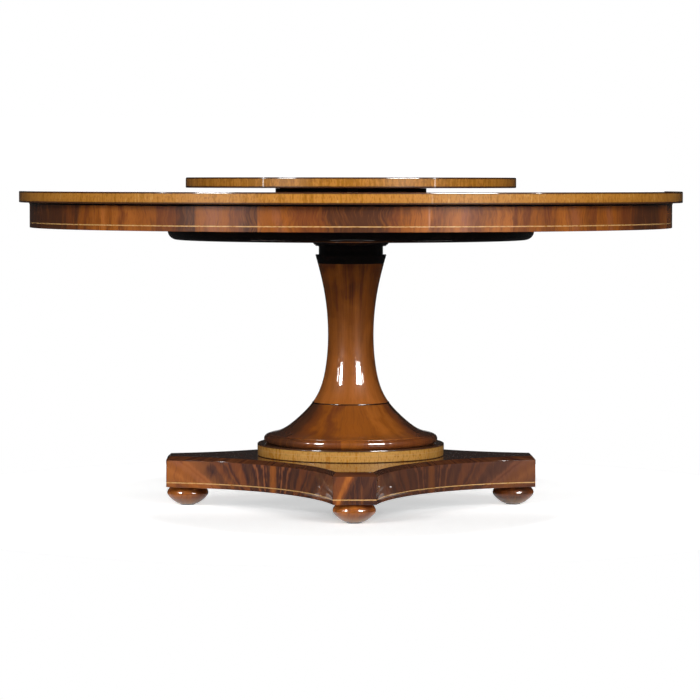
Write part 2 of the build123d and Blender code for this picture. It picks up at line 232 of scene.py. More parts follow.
def leaf_figure(shader, place, u, v, number, stops, lean, swirl, seed, streak=1.0, left_stops=None):
    """Crotch figure: colours that follow one another along a leaf, bent by its swirl, under fine grain.

    left_stops are the colours of the leaves with a negative number."""
    bend = shader.noise((place, 7.0), (v, 22.0), shader.add(number, seed))
    fray = shader.streaks(u, v, 0.007, 0.06, 2.0 + seed, 5)
    slope = shader.add(shader.noise((place, 4.0), seed, 0.5), -0.5)
    moved = shader.add(place, shader.times(shader.add(bend, -0.5), swirl))
    moved = shader.add(moved, shader.times(shader.add(fray, -0.5), min(swirl, 0.05)))
    moved = shader.add(moved, shader.times(shader.times(slope, v), 10 * lean))
    colour = shader.ramp(moved, stops)
    if left_stops:
        colour = shader.mix(shader.math("LESS_THAN", number, -0.5), colour, shader.ramp(moved, left_stops))
    # Fine grain leans and curls with the figure.
    curled = shader.add(u, shader.times(shader.noise((u, 13.0), (v, 24.0), seed, detail=1), 0.03))
    fine = shader.spread(shader.streaks(curled, v, 0.0042, 0.05, 5.0 + seed, 4), 0.34, 0.66)
    broad = shader.spread(shader.streaks(curled, v, 0.014, 0.11, 6.0 + seed, 3), 0.34, 0.66)
    pore = shader.spread(shader.streaks(u, v, 0.0016, 0.018, 8.0 + seed, 2), 0.54, 0.68)
    light = shader.weigh((fine, 0.5), (broad, 0.5))
    colour = shader.mix(shader.spread(light, 0.15, 0.5, 0.62 * streak, 0.0), colour, UMBER)
    colour = shader.mix(shader.spread(light, 0.5, 0.9, 0.0, 0.45 * streak), colour, EMBER)
    colour = shader.mix(shader.times(pore, 0.40 * streak), colour, SHADOW)
    return colour, fine


def leaf_place(shader, u, start, width):
    """How far along its leaf a point lies, from 0 to 1, and the leaf's number."""
    count = shader.times(shader.add(u, -start), 1 / width)
    return shader.math("FRACT", count), shader.math("FLOOR", count)


def crotch_mahogany(name, start, width, stops, lean, swirl, seed, streak, left_stops=None):
    shader = Shader(name)
    u, v = shader.grain_place()
    place, number = leaf_place(shader, u, start, width)
    colour, fine = leaf_figure(shader, place, u, v, number, stops, lean, swirl, seed, streak, left_stops)
    return shader.polish(colour, 0.4, shader.bump(fine, 0.04 * MM))


def upright_mahogany(name, top):
    """The shaft's veneer: long upright grain and a darker heart, with painted shade that makes it warm below,
    dark towards the top and darker on its right side.
    """
    shader = Shader(name)
    u, v = shader.grain_place()
    z = shader.object_place()[2]
    broad = shader.streaks(u, v, 0.022, 0.42, 3.0, 4)
    fine = shader.streaks(u, v, 0.0022, 0.10, 6.0, 4)
    swirl = shader.noise((u, 12.0), (v, 9.0), 1.0, detail=3, distortion=0.8)
    height = shader.spread(z, 0.25, top)
    aside = shader.add(shader.math("ABSOLUTE", u), shader.times(shader.add(broad, -0.5), 0.05))
    heart = shader.times(shader.spread(aside, 0.0, 0.045, 1.0, 0.0), shader.spread(height, 0.55, 0.85))
    tone = shader.weigh((broad, 0.34), (fine, 0.22), (swirl, 0.44), (heart, -0.10))
    # Painted shade: the tone falls towards the top, where the tabletop shades the shaft, and on the shaft's
    # right side.
    tone = shader.add(tone, shader.spread(height, 0.0, 1.0, 0.14, -0.05))
    tone = shader.add(tone, shader.spread(u, 0.03, 0.10, 0.0, -0.06))
    colour = shader.ramp(tone, [(0.30, UMBER), (0.40, CHESTNUT), (0.48, AMBER), (0.58, EMBER), (0.72, FLAME)])
    pore = shader.spread(shader.streaks(u, v, 0.0010, 0.03, 8.0, 2), 0.56, 0.70)
    colour = shader.mix(shader.times(pore, 0.40), colour, SHADOW)
    return shader.polish(colour, shader.spread(fine, 0.3, 0.7, 0.34, 0.48), shader.bump(fine, 0.04 * MM))


def ebonised(name):
    """Mahogany stained black, with the grain just showing through the polish."""
    shader = Shader(name)
    x, y, z = shader.object_place()
    round_place = shader.times(shader.math("ARCTAN2", x, shader.times(y, -1.0)), 0.1)
    grain = shader.streaks(round_place, z, 0.002, 0.05, 2.0, 4)
    colour = shader.ramp(grain, [(0.35, (0.007, 0.0035, 0.0025)), (0.75, (0.014, 0.006, 0.004))])
    return shader.polish(colour, shader.spread(grain, 0.3, 0.7, 0.35, 0.5), shader.bump(grain, 0.05 * MM))


def boxwood(name):
    shader = Shader(name)
    x, y, z = shader.object_place()
    grain = shader.noise((x, 140.0), (y, 140.0), (z, 900.0), detail=4)
    colour = shader.ramp(grain, [(0.32, OLIVE), (0.50, BOX), (0.70, (0.70, 0.45, 0.20))])
    return shader.polish(colour, 0.4, shader.bump(grain, 0.03 * MM))


def dark_mahogany(name, low, middle, high):
    """The plinth's board: dark mahogany under a mirror polish, its grain from side to side."""
    shader = Shader(name)
    x, y, z = shader.object_place()
    grain = shader.noise((x, 9.0), (y, 160.0), z, detail=5, distortion=0.3)
    colour = shader.ramp(grain, [(0.35, low), (0.55, middle), (0.72, high)])
    return shader.polish(colour, 0.25, shader.bump(grain, 0.02 * MM), coat_roughness=0.01)


def rayed_top(name, rim, band_width, leaves):
    """A round top: leaves of flame mahogany that meet at the centre, inside a crossband of satinwood."""
    shader = Shader(name)
    x, y, _ = shader.object_place()
    radius = shader.distance(x, y)
    angle = shader.math("ARCTAN2", x, shader.times(y, -1.0))
    leaf = 2 * pi / leaves
    side, number = leaf_place(shader, angle, -leaf / 2 - 2 * pi, leaf)
    aside = shader.math("ABSOLUTE", shader.add(side, -0.5))
    # Feathers leave the leaf's heart line and sweep out to its joints.
    sweep = shader.times(shader.math("POWER", shader.times(aside, 2.0), 0.6), 0.16 * rim / 0.8)
    along = shader.add(radius, shader.times(sweep, -1.0))
    wave = shader.noise((along, 5.0), (aside, 3.0), 2.0, detail=3)
    feather = shader.noise((along, 42.0), (aside, 5.0), 5.0, detail=5, roughness=0.6, distortion=0.4)
    fine = shader.noise((along, 260.0), (aside, 16.0), number, detail=3)
    tone = shader.weigh((wave, 0.35), (feather, 0.45), (fine, 0.2))
    flame = shader.ramp(shader.add(tone, shader.spread(aside, 0.0, 0.16, 0.07, -0.02)),
                        [(0.32, SHADOW), (0.42, UMBER), (0.50, CHESTNUT), (0.57, AMBER), (0.68, EMBER)])
    flame = shader.mix(shader.spread(aside, 0.4975, 0.4990, 0.0, 0.7), flame, SHADOW)

    across = shader.times(angle, rim)
    cross = shader.streaks(radius, across, 0.0018, 0.05, 3.0, 3)
    band_grain = shader.noise((across, 500.0), (radius, 25.0), 1.0, detail=3)
    band_tone = shader.weigh((band_grain, 0.6), (shader.noise((x, 9.0), (y, 9.0), 4.0), 0.4))
    band = shader.ramp(band_tone, [(0.33, OLIVE), (0.50, HONEY), (0.70, STRAW)])

    band_start = rim - band_width
    in_band = shader.math("GREATER_THAN", radius, band_start)
    colour = shader.mix(in_band, flame, band)
    for centre, half, tint in ((band_start, 1.6 * MM, INK), (band_start, 0.7 * MM, BOX),
                               (band_start - 12 * MM, 0.7 * MM, BOX)):
        colour = shader.mix(shader.near(radius, centre, half), colour, tint)
    rough = shader.spread(shader.mix(in_band, fine, cross), 0.3, 0.7, 0.34, 0.46)
    return shader.polish(colour, rough, shader.bump(fine, 0.02 * MM))


def backing(name):
    """The plain unpolished veneer under the tops."""
    shader = Shader(name)
    x, y, z = shader.object_place()
    grain = shader.noise((x, 7.0), (y, 120.0), z, detail=5, distortion=0.5)
    colour = shader.ramp(grain, [
        (0.35, (0.13, 0.055, 0.025)), (0.55, (0.22, 0.10, 0.05)), (0.75, (0.30, 0.15, 0.08))])
    return shader.polish(colour, 0.6, shader.bump(grain, 0.1 * MM), coat=0.15, coat_roughness=0.3)


def beech(name, along="X"):
    """Planed secondary wood, unpolished, its grain along one axis."""
    shader = Shader(name)
    axes = [(value, 5.0 if axis == along else 150.0) for value, axis in zip(shader.object_place(), "XYZ")]
    grain = shader.noise(*axes, detail=5, distortion=0.3)
    fleck = shader.noise(*((value, 3 * rate) for value, rate in axes), detail=1)
    colour = shader.ramp(grain, [
        (0.33, (0.30, 0.19, 0.10)), (0.52, (0.42, 0.28, 0.16)), (0.72, (0.52, 0.37, 0.23))])
    colour = shader.mix(shader.times(shader.spread(fleck, 0.62, 0.70), 0.4), colour, (0.22, 0.12, 0.06))
    rough = shader.spread(grain, 0.3, 0.7, 0.55, 0.75)
    return shader.polish(colour, rough, shader.bump(grain, 0.15 * MM), coat=0.0)


def speckled(name, colour, roughness, rates, detail, contrast, depth, metallic=0.0):
    """Metal or plastic, with fine marks whose rates are cells per metre along x, y and z.

    contrast is how much darker a mark is, and how much of that shows."""
    shader = Shader(name)
    marks = shader.noise(*zip(shader.object_place(), rates), detail=detail)
    faint = tuple((1 - contrast[0]) * part for part in colour)
    tint = shader.mix(shader.spread(marks, 0.3, 0.7, 0.0, contrast[1]), colour, faint)
    shader.surface.inputs["Metallic"].default_value = metallic
    rough = shader.spread(marks, 0.3, 0.7, roughness - 0.08, roughness + 0.08)
    return shader.base(tint, rough, shader.bump(marks, depth))


def metal(name, colour, roughness, metallic=1.0):
    return speckled(name, colour, roughness, (500.0, 500.0, 2500.0), 3, (0.45, 0.35), 0.02 * MM, metallic)


def plastic(name, colour, roughness):
    return speckled(name, colour, roughness, (1200.0, 1200.0, 1200.0), 2, (0.4, 0.25), 0.03 * MM)


# ---- meshes ----

def eased(points, radii, steps=5):
    """The closed section `points` with the corners named in `radii` (index: radius) rounded off.

    A further point just outside each rounding keeps the flats beside it flat in the smooth shading."""
    rounded = []
    count = len(points)
    for index, point in enumerate(points):
        radius = radii.get(index, 0)
        here = Vector(point)
        if not radius:
            rounded.append(here)
            continue
        to_last = (Vector(points[index - 1]) - here).normalized()
        to_next = (Vector(points[(index + 1) % count]) - here).normalized()
        half = to_last.angle(to_next) / 2
        reach = radius / tan(half)
        centre = here + (to_last + to_next).normalized() * (radius / sin(half))
        first = here + to_last * reach - centre
        last = here + to_next * reach - centre
        rounded.append(here + to_last * (reach + 0.25 * MM))
        for step in range(steps + 1):
            rounded.append(centre + radius * first.slerp(last, step / steps))
        rounded.append(here + to_next * (reach + 0.25 * MM))
    return [tuple(point) for point in rounded]


def finish_piece(name, vertices, faces, uvs, face_materials, materials, body, replaces, sharp=35):
    """Makes the mesh object with its grain UV map and materials, and puts it on its body."""
    mesh = bpy.data.meshes.new(name)
    mesh.from_pydata(vertices, [], faces)
    layer = mesh.uv_layers.new(name="grain")
    layer.data.foreach_set("uv", [value for pair in uvs for value in pair])
    for material in materials:
        mesh.materials.append(material)
    mesh.polygons.foreach_set("material_index", face_materials)
    mesh.polygons.foreach_set("use_smooth", [True] * len(faces))
    mesh.set_sharp_from_angle(angle=radians(sharp))
    mesh.update()
    piece = bpy.data.objects.new(name, mesh)
    bpy.context.scene.collection.objects.link(piece)
    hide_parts(*replaces)
    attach(piece, body)
    return piece


def lathe(name, section, materials, body, replaces, closed=True, centre=(0, 0), segments=SEGMENTS,
          choose=None):
    """Turns `section`, (radius, height) pairs that run round it clockwise or up its outside, about its axis.

    u is the angle from the front times the section's largest radius, and v the length along the section.
    `choose` picks a material's index from the middle (radius, height) of a face."""
    widest = max(radius for radius, _ in section)
    ring = list(section) + ([section[0]] if closed else [])
    lengths = [0.0]
    for (r0, z0), (r1, z1) in zip(ring, ring[1:]):
        lengths.append(lengths[-1] + hypot(r1 - r0, z1 - z0))
    count = len(section)
    vertices, index = [], {}
    for place, (radius, height) in enumerate(section):
        for step in range(segments if radius > 0 else 1):
            angle = 2 * pi * step / segments - pi
            index[place, step] = len(vertices)
            vertices.append((centre[0] + radius * sin(angle), centre[1] - radius * cos(angle), height))
    faces, uvs, face_materials = [], [], []
    for place in range(len(ring) - 1):
        after = (place + 1) % count
        (r0, z0), (r1, z1) = ring[place], ring[place + 1]
        kind = choose((r0 + r1) / 2, (z0 + z1) / 2) if choose else 0
        for step in range(segments):
            beyond = step + 1
            corners = [(place, step, 0), (place, beyond, 0), (after, beyond, 1), (after, step, 1)]
            if r0 == 0:
                corners = corners[1:]
            elif r1 == 0:
                corners = corners[:3]
            face = []
            for at, spoke, end in corners:
                key = (at, 0) if section[at][0] == 0 else (at, spoke % segments)
                face.append(index[key])
                angle = 2 * pi * spoke / segments - pi
                uvs.append((angle * widest, lengths[place + end]))
            faces.append(face)
            face_materials.append(kind)
    return finish_piece(name, vertices, faces, uvs, face_materials, materials, body, replaces)


def limits(node):
    """A turned node's largest radius, lowest and highest level."""
    low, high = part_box(node)
    return (high.x - low.x) / 2, low.z, high.z


def inner_radius(node):
    return min(hypot(vertex.co.x, vertex.co.y) for vertex in nodes[node].data.vertices)


def outer_section(node, hollow, centre=(0, 0), spacing=1.5 * MM):
    """The outside of a turned node from bottom to top, as (radius, height) pairs at least `spacing` apart.

    Points nearer the axis than `hollow` belong to bores and are left out."""
    reach = {}
    for vertex in nodes[node].data.vertices:
        radius = hypot(vertex.co.x - centre[0], vertex.co.y - centre[1])
        level = round(vertex.co.z, 5)
        if radius > hollow:
            reach[level] = max(radius, reach.get(level, 0))
    levels = sorted(reach)
    kept = [(reach[levels[0]], levels[0])]
    for level in levels[1:-1]:
        if hypot(reach[level] - kept[-1][0], level - kept[-1][1]) >= spacing:
            kept.append((reach[level], level))
    kept.append((reach[levels[-1]], levels[-1]))
    return kept


def carried_in(section, inside=0):
    """The section carried in to the axis, or to the radius `inside`, at both ends."""
    return [(inside, section[0][1])] + section + [(inside, section[-1][1])]


def ring_section(inside, outside, low, high, arris=0.0):
    """A rectangular section with its outer corners eased."""
    points = [(inside, low), (outside, low), (outside, high), (inside, high)]
    return eased(points, {1: arris, 2: arris}) if arris else points


# ---- camera, light and floor ----

VIEW_TURN = radians(-1.2)


def add_camera():
    """A long lens far off, just above the top and looking slightly down."""
    distance, height = 7.170, 0.785
    yaw, pitch, roll = radians(0.015), radians(-3.263), radians(-0.06)
    data = bpy.data.cameras.new("camera")
    data.sensor_width = 36
    data.lens = 151.86
    camera = bpy.data.objects.new("camera", data)
    bpy.context.scene.collection.objects.link(camera)
    camera.matrix_world = (
        Matrix.Rotation(VIEW_TURN, 4, "Z") @ Matrix.Translation((0, -distance, height)) @
        Matrix.Rotation(yaw, 4, "Z") @ Matrix.Rotation(pitch, 4, "X") @ Matrix.Rotation(roll, 4, "Y") @
        Matrix.Rotation(radians(90), 4, "X"))
    bpy.context.scene.camera = camera


def add_light(name, azimuth, distance, low, high, width, radiance, seen=True, lights=True, target=0.4):
    """An upright softbox at an azimuth from the front, from `low` to `high`, facing the table.

    seen says whether polish reflects it, and lights whether it lights the wood."""
    data = bpy.data.lights.new(name, "AREA")
    data.shape = "RECTANGLE"
    data.size, data.size_y = width, high - low
    data.energy = radiance * pi * width * (high - low)
    lamp = bpy.data.objects.new(name, data)
    angle = radians(azimuth) + VIEW_TURN
    lamp.location = (distance * sin(angle), -distance * cos(angle), (low + high) / 2)
    facing = Vector((0, 0, target)) - lamp.location
    lamp.rotation_euler = facing.to_track_quat("-Z", "Y").to_euler()
    lamp.visible_glossy = seen
    lamp.visible_diffuse = lights
    lamp.visible_camera = False
    bpy.context.scene.collection.objects.link(lamp)
    return lamp


def keep_glare_off(pieces, names):
    """Lights with those names don't shine on the pieces, whose flat tops would mirror them as sheets."""
    spared = bpy.data.collections.new(f"spared_{pieces[0]}")
    for piece in pieces:
        spared.objects.link(bpy.data.objects[piece])
    for entry in spared.collection_objects:
        entry.light_linking.link_state = "EXCLUDE"
    for name in names:
        bpy.data.objects[name].light_linking.receiver_collection = spared


def add_lights():
    add_light("softbox_left", -37, 4.0, 1.05, 3.0, 1.5, 10.0, seen=False)
    add_light("softbox_right", 34, 4.0, 1.05, 3.0, 1.6, 10.4, seen=False)
    add_light("fill_front", 4, 5.0, 1.2, 3.2, 2.0, 3.0, seen=False)
    add_light("gleam_left", -43.5, 4.0, 1.15, 2.6, 0.80, 100.0, lights=False)
    add_light("gleam_right", 35.5, 4.0, 1.15, 2.6, 1.5, 100.0, lights=False)
    add_light("gleam_left_low", -43.5, 3.9, 0.98, 1.15, 0.70, 25.0, lights=False)
    add_light("gleam_right_low", 35.5, 3.9, 0.98, 1.15, 1.3, 25.0, lights=False)
    for name, azimuth, distance, reach in (("left", -58.9, 3.39, 2.7), ("right", 54.3, 2.18, 1.5)):
        add_light(f"strip_{name}", azimuth, distance, 0.762, 0.83, 0.02 * reach, 10.0, lights=False)
        low, high = 0.76 + 0.10 * reach, 0.76 + 0.34 * reach
        add_light(f"strip_{name}_upper", azimuth, distance, low, high, 0.03 * reach, 90.0, lights=False)
        add_light(f"halo_{name}", azimuth, distance + 0.1, low, high, 0.12 * reach, 14.0, lights=False)
    for step in (0, 1):
        away = 4.2 + 0.1 * step
        add_light(f"veil_left_{step}", -41, away, 0.60, 0.90, 1.2 + 0.8 * step, 0.26, lights=False)
        add_light(f"veil_right_{step}", 33, away, 0.60, 0.90, 0.5 + 0.6 * step, 0.18, lights=False)
    add_light("strip_middle", 24.5, 4.5, 0.62, 0.80, 0.03, 3.0, lights=False)
    add_light("strip_middle_upper", 24.5, 4.5, 0.95, 1.2, 0.05, 30.0, lights=False)
    add_light("fill_back", 180, 4.0, 1.0, 3.0, 4.0, 1.5, seen=False)


def add_world():
    """White behind the table for the camera, a dim room for what the wood and its polish see."""
    world = bpy.data.worlds.new("world")
    bpy.context.scene.world = world
    world.use_nodes = True
    tree = world.node_tree
    background = tree.nodes["Background"]
    path = tree.nodes.new("ShaderNodeLightPath")
    direction = tree.nodes.new("ShaderNodeTexCoord")
    split = tree.nodes.new("ShaderNodeSeparateXYZ")
    tree.links.new(direction.outputs["Generated"], split.inputs[0])

    def compute(operation, a, b):
        made = tree.nodes.new("ShaderNodeMath")
        made.operation = operation
        for socket, value in zip(made.inputs, (a, b)):
            if isinstance(value, bpy.types.NodeSocket):
                tree.links.new(value, socket)
            else:
                socket.default_value = value
        return made.outputs[0]

    # A bright strip low behind the table is what its top reflects at grazing sight.
    low = compute("LESS_THAN", compute("ABSOLUTE", compute("ADD", split.outputs[2], -0.011), 0.0), 0.010)
    behind = compute("GREATER_THAN", split.outputs[1], 0.992)
    strip = compute("MULTIPLY", low, behind)
    reflected = compute("ADD", compute("MULTIPLY", strip, 1.1), 0.02)
    dim = compute("ADD", compute("MULTIPLY", path.outputs["Is Diffuse Ray"], 0.09), reflected)
    lit = compute("MAXIMUM", dim, path.outputs["Is Camera Ray"])
    tree.links.new(lit, background.inputs["Strength"])
    background.inputs["Color"].default_value = (1, 1, 1, 1)


def add_floor():
    """A white floor. Polish sees it only near the feet, as the rest of the room is dark to it."""
    foot_low, foot_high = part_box("foot_front")
    reach = -(foot_low.y + foot_high.y) / 2
    floor_radius, gleam_radius = 1.15, 0.13
    discs = [("floor", (0, 0), floor_radius, 0.0)]
    for name, (x, y) in (("right", (reach, 0)), ("back", (0, reach)), ("left", (-reach, 0)),
                         ("front", (0, -reach))):
        discs.append((f"floor_gleam_{name}", (x, y), gleam_radius, 1 * MM))
    for name, (x, y), radius, level in discs:
        spokes = 96
        rim = [(x + radius * cos(2 * pi * i / spokes), y + radius * sin(2 * pi * i / spokes), level)
               for i in range(spokes)]
        mesh = bpy.data.meshes.new(name)
        mesh.from_pydata(rim, [], [list(range(spokes))])
        disc = bpy.data.objects.new(name, mesh)
        bpy.context.scene.collection.objects.link(disc)
        shader = Shader(f"{name}_white")
        shader.surface.inputs["Base Color"].default_value = (0.9, 0.9, 0.9, 1)
        shader.surface.inputs["Roughness"].default_value = 0.6
        shader.surface.inputs["Specular IOR Level"].default_value = 0.0
        shader.surface.inputs["Emission Color"].default_value = (0.995, 1.0, 1.0, 1)
        # The floor shines for the camera and for polish, and lights nothing by itself. For the camera it
        # holds a painted shadow, a grey zone in front of the plinth, and it is brighter far out.
        path = shader.tree.nodes.new("ShaderNodeLightPath").outputs
        across, ahead, _ = shader.object_place()
        squares = shader.weigh((shader.times(across, across), 1.7), (shader.times(ahead, ahead), 1.0))
        away = shader.math("SQRT", squares)
        in_front = shader.spread(ahead, -0.32, -0.06, -0.26, 0.0)
        painted_floor_shadow = shader.times(in_front, shader.spread(away, 0.67, 0.75, 1.0, 0.0))
        shine = shader.add(shader.add(painted_floor_shadow, 0.60), shader.spread(away, 0.90, 1.20, 0.0, 0.50))
        glow = shader.weigh((path["Is Camera Ray"], shine), (path["Is Glossy Ray"], 0.36))
        shader.feed(shader.surface.inputs["Emission Strength"], glow)
        mesh.materials.append(shader.material)
        disc.visible_glossy = name != "floor"
        disc.visible_camera = disc.visible_diffuse = disc.visible_shadow = name == "floor"


# ---- the pieces ----

def make_tray_and_top():
    tray_radius, tray_low, tray_high = limits("tray_edge_band")
    top_radius, top_low, top_high = limits("tabletop_edge_band")
    sets = [
        ("tray", tray_radius, inner_radius("tray_edge_band"), tray_low, tray_high, 45 * MM, 12, "tray"),
        ("tabletop", top_radius, inner_radius("tabletop_edge_band"), top_low, top_high, 75 * MM, 16, "table")]
    under = backing("plain_backing")
    for name, radius, rim, low, high, band, leaves, body in sets:
        veneer = rayed_top(f"{name}_veneer", rim, band, leaves)
        edge = satinwood(f"{name}_edge_satinwood", low, high, pale=-0.19 if name == "tray" else -0.04)
        lathe(f"{name}_veneered_panel", [(0, low), (rim, low), (rim, high), (0, high)], [veneer, under],
              body, [f"{name}_panel"], closed=False,
              choose=lambda r, z, level=high: 0 if z > level - 1e-5 else 1)
        lathe(f"{name}_banded_edge", ring_section(rim, radius, low, high, 2.2 * MM), [edge],
              body, [f"{name}_edge_band"])


# A leaf right of the apron's front joint and one left of it, each from its left end to its right one
APRON_LEAF = [
    (0.000, EMBER), (0.015, AMBER), (0.040, AMBER), (0.065, ROSE), (0.090, AMBER), (0.120, CHESTNUT),
    (0.165, CHESTNUT), (0.185, UMBER), (0.340, UMBER), (0.365, CHESTNUT), (0.395, AMBER), (0.460, EMBER),
    (0.485, CHESTNUT), (0.510, AMBER), (0.545, EMBER), (0.560, ROSE), (0.590, CHESTNUT), (0.620, AMBER),
    (0.650, EMBER), (0.695, EMBER), (0.705, CHESTNUT), (0.725, AMBER), (0.745, CHESTNUT), (0.775, AMBER),
    (0.825, CHESTNUT), (0.850, AMBER), (0.880, EMBER), (0.915, ROSE), (0.940, AMBER), (0.975, CHESTNUT),
    (1.000, CHESTNUT)]
APRON_LEFT_LEAF = [
    (0.000, UMBER), (0.300, UMBER), (0.330, CHESTNUT), (0.360, UMBER), (0.385, AMBER), (0.410, CHESTNUT),
    (0.430, AMBER), (0.455, EMBER), (0.475, AMBER), (0.495, FLAME), (0.520, AMBER), (0.545, EMBER),
    (0.570, CHESTNUT), (0.595, EMBER), (0.640, AMBER), (0.680, AMBER), (0.700, CHESTNUT), (0.755, CHESTNUT),
    (0.780, UMBER), (0.815, UMBER), (0.835, AMBER), (0.880, ROSE), (0.905, AMBER), (0.935, CHESTNUT),
    (0.965, UMBER), (1.000, UMBER)]
APRON_LEAF_ANGLE = radians(60.5)
APRON_JOINT = radians(-16.4)


def make_apron():
    radius, low, high = limits("apron")
    inside = inner_radius("apron")
    string_radius, string_low, string_high = limits("apron_stringing")
    depth = string_radius - inner_radius("apron_stringing")
    veneer = crotch_mahogany("apron_veneer", APRON_JOINT * radius, APRON_LEAF_ANGLE * radius, APRON_LEAF,
                             lean=0.1, swirl=0.05, seed=1.0, streak=0.7, left_stops=APRON_LEFT_LEAF)
    section = [
        (inside, low), (radius, low), (radius, string_low), (radius - depth, string_low),
        (radius - depth, string_high), (radius, string_high), (radius, high), (inside, high)]
    section = eased(section, {1: 0.8 * MM}, 3)
    core = beech("apron_core", "Z")
    lathe("apron_veneered", section, [veneer, core], "table", ["apron"],
          choose=lambda r, z: 0 if r > inside + 5 * MM and low < z < high - 1e-5 else 1)
    bead_radius, bead_low, bead_high = limits("apron_bead")
    middle = (bead_low + bead_high) / 2
    section = []
    for step in range(9):
        angle = radians(-90 + 22.5 * step)
        out = (bead_radius - radius) * max(0, cos(angle))
        section.append((radius + out, middle + (bead_high - middle) * sin(angle)))
    lathe("apron_turned_bead", section, [ebonised("bead_black")], "table", ["apron_bead"])
    lathe("apron_string_line", ring_section(radius - depth, radius, string_low, string_high),
          [boxwood("apron_boxwood")], "table", ["apron_stringing"])


# Each of these is the front half of a turned piece, from left to right. Only the torus has a sharp joint.
BELL_LEAF = [
    (0.000, UMBER), (0.260, UMBER), (0.350, CHESTNUT), (0.410, AMBER), (0.480, CHESTNUT), (0.560, AMBER),
    (0.640, AMBER), (0.700, EMBER), (0.760, AMBER), (0.800, EMBER), (0.840, AMBER), (0.880, CHESTNUT),
    (0.930, UMBER), (1.000, UMBER)]
TORUS_LEAF = [
    (0.000, UMBER), (0.280, UMBER), (0.400, CHESTNUT), (0.498, CHESTNUT), (0.502, AMBER), (0.540, AMBER),
    (0.610, CHESTNUT), (0.780, CHESTNUT), (1.000, UMBER)]
BASE_JOINT = radians(-8)


def make_pedestal():
    dark = ebonised("ebonised_wood")
    section = carried_in(outer_section("sub_top_board", 300 * MM))
    lathe("sub_top_round_board", section, [dark], "table", ["sub_top_board"], closed=False)

    neck = inner_radius("neck_moulding")
    section = carried_in(outer_section("neck_moulding", neck + 1 * MM, spacing=0.6 * MM), neck)
    lathe("neck_ovolo", section, [dark], "table", ["neck_moulding"])
    radius, low, high = limits("neck_block")
    section = [(0, low), (radius, low), (radius, high), (0, high)]
    lathe("neck_turned_block", section, [dark], "table", ["neck_block"], closed=False)

    shaft = upright_mahogany("shaft_veneer", limits("column_shaft")[2])
    bell = limits("column_bell")[0]
    bell_veneer = crotch_mahogany("bell_veneer", (BASE_JOINT - pi / 2) * bell, pi * bell, BELL_LEAF,
                                  lean=0.12, swirl=0.24, seed=3.0, streak=0.35)
    torus = limits("column_torus")[0]
    torus_veneer = crotch_mahogany("torus_veneer", (BASE_JOINT - pi / 2) * torus, pi * torus, TORUS_LEAF,
                                   lean=0.0, swirl=0.03, seed=6.0, streak=0.45)
    bore = 50 * MM
    for name, node, spacing, material, slot in (
            ("collar_turned", "column_collar", 0.4 * MM, dark, "ebonised"),
            ("bead_turned", "column_bead", 0.4 * MM, dark, "ebonised"),
            ("shaft_turned", "column_shaft", 0.4 * MM, shaft, "mahogany"),
            ("bell_turned", "column_bell", 1.0 * MM, bell_veneer, "crotch_mahogany"),
            ("torus_turned", "column_torus", 1.0 * MM, torus_veneer, "crotch_mahogany")):
        section = carried_in(outer_section(node, bore, spacing=spacing))
        lathe(name, section, [material], "table", [node], closed=False)

    radius, low, high = limits("pedestal_disc")
    edge = satinwood("disc_satinwood", low, high, low + 0.55 * (high - low), 0.37, 1.9 * MM)
    section = eased([(0, low), (radius, low), (radius, high), (0, high)], {1: 2 * MM, 2: 2 * MM})
    lathe("disc_turned", section, [edge], "table", ["pedestal_disc"], closed=False)


def foot_mahogany(name, stops, low, high):
    """The feet's wood: one turn of warm mottled mahogany, with a painted reflection of the floor making it
    more golden towards the floor.
    """
    shader = Shader(name)
    u, v = shader.grain_place()
    x, y, z = shader.object_place()
    radius = 50 * MM
    place, number = leaf_place(shader, u, -pi * radius, 2 * pi * radius)
    colour, fine = leaf_figure(shader, place, u, v, number, stops, lean=0.3, swirl=0.5, seed=9.0, streak=0.35)
    mottle = shader.noise((x, 60.0), (y, 60.0), (z, 60.0), detail=4)
    colour = shader.mix(shader.spread(mottle, 0.52, 0.64, 0.0, 0.6), colour, CHESTNUT)
    # Painted reflection: a pale golden tint towards the floor stands in for the floor mirrored in the polish.
    floor_reflection_tint = shader.spread(z, low, 0.6 * low + 0.4 * high, 0.75, 0.0)
    colour = shader.mix(floor_reflection_tint, colour, (0.280, 0.150, 0.045))
    return shader.polish(colour, 0.4, shader.bump(fine, 0.03 * MM))


def make_feet():
    for side in ("right", "back", "left", "front"):
        node = f"foot_{side}"
        low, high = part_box(node)
        centre = ((low.x + high.x) / 2, (low.y + high.y) / 2)
        section = carried_in(outer_section(node, 12 * MM, centre, 1.2 * MM))
        stops = [(0.0, AMBER), (0.3, EMBER), (0.45, AMBER), (0.6, CHESTNUT), (0.8, EMBER), (1, AMBER)]
        # Painted shade: the right foot gets darker stops, standing in for the plinth's shade on it.
        if side == "right":
            stops = [(0.0, CHESTNUT), (0.3, CHESTNUT), (0.5, UMBER), (0.7, CHESTNUT), (1, UMBER)]
        wood = foot_mahogany(f"foot_{side}_wood", stops, low.z, high.z)
        lathe(f"bun_{node}", section, [wood], "table", [node], closed=False, centre=centre,
              segments=96)


def plinth_plan():
    """Where the plinth's cut corners and hollow sides lie, read from its stringing's outer face."""
    points = [v.co for v in nodes["plinth_stringing"].data.vertices if v.co.x > 0 and v.co.y > 0]
    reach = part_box("plinth_stringing")[1].x
    half = max(p.y for p in points if p.x > reach - 0.01 * MM)
    bend = max((p for p in points if abs(p.x - p.y) < 40 * MM), key=lambda p: p.x + p.y)
    centre = (reach ** 2 + half ** 2 - bend.x ** 2 - bend.y ** 2) / (2 * (reach + half - bend.x - bend.y))
    return reach, centre, hypot(reach - centre, half - centre)


